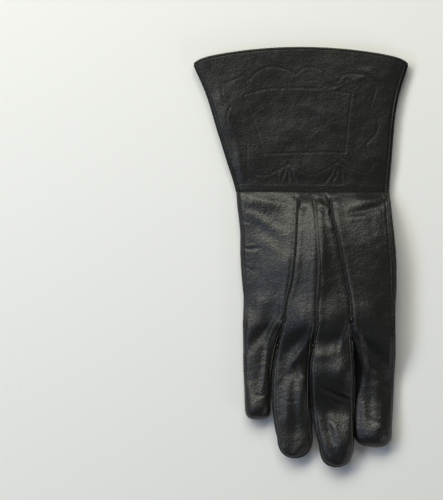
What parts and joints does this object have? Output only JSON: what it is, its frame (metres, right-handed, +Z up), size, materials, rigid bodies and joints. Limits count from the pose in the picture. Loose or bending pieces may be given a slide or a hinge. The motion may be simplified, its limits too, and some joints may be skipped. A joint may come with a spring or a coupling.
{
  "type": "leather gauntlet",
  "caption": "Right-hand leather gauntlet glove lying palm down, with a flared cuff, raised points on the back, fourchettes between the fingers and the thumb folded under the palm.",
  "frame": {"origin": "middle of the lying glove's bounding box, on the surface that it lies on", "axes": "+Z up from the palm to the back of the hand, +Y from the fingertips to the cuff's mouth, +X to the thumb's side"},
  "size_m": [0.1606, 0.3144, 0.0264],
  "materials": {
    "hand_back": "smooth black glove leather with fine grain and a semi-gloss sheen",
    "hand_palm": "smooth black glove leather with fine grain, a little duller than the back",
    "thumb": "smooth black glove leather with fine grain and a semi-gloss sheen",
    "fourchette": "thin soft black leather strips between the fingers",
    "cuff": "firmer black leather with a stitched scalloped frame",
    "mouth_binding": "rolled black leather edge binding"
  },
  "bodies": {
    "root": {"hand_back": "hand_back", "hand_palm": "hand_palm", "thumb": "thumb", "fourchette_little_ring": "fourchette", "fourchette_ring_middle": "fourchette", "fourchette_middle_index": "fourchette", "cuff_back": "cuff", "cuff_palm": "cuff", "mouth_binding": "mouth_binding"}
  },
  "joints": []
}
